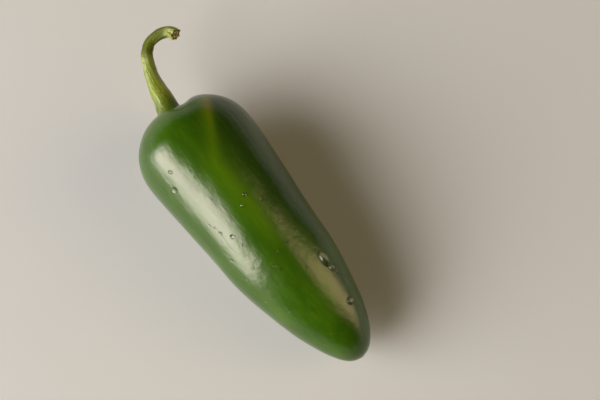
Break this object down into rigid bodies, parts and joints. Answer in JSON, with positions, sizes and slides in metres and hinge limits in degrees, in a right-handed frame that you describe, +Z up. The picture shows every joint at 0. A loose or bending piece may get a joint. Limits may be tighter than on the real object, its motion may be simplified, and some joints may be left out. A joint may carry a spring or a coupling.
{
  "type": "chilli pepper",
  "caption": "Fresh green chilli pepper lying on its side: a blunt, slightly tapering pod with a hooked stem and calyx.",
  "frame": {"origin": "on the surface the pepper lies on, under the middle of its bounding box", "axes": "+Z up, +X along the pod towards its tip, +Y towards the side that the stem hooks to"},
  "size_m": [0.105, 0.0342, 0.0336],
  "materials": {
    "pod_skin": "glossy waxy green skin",
    "stem_green": "satin yellow-green, fibrous at the cut end"
  },
  "bodies": {
    "root": {"pod": "pod_skin", "stem_and_calyx": "stem_green"}
  },
  "joints": []
}
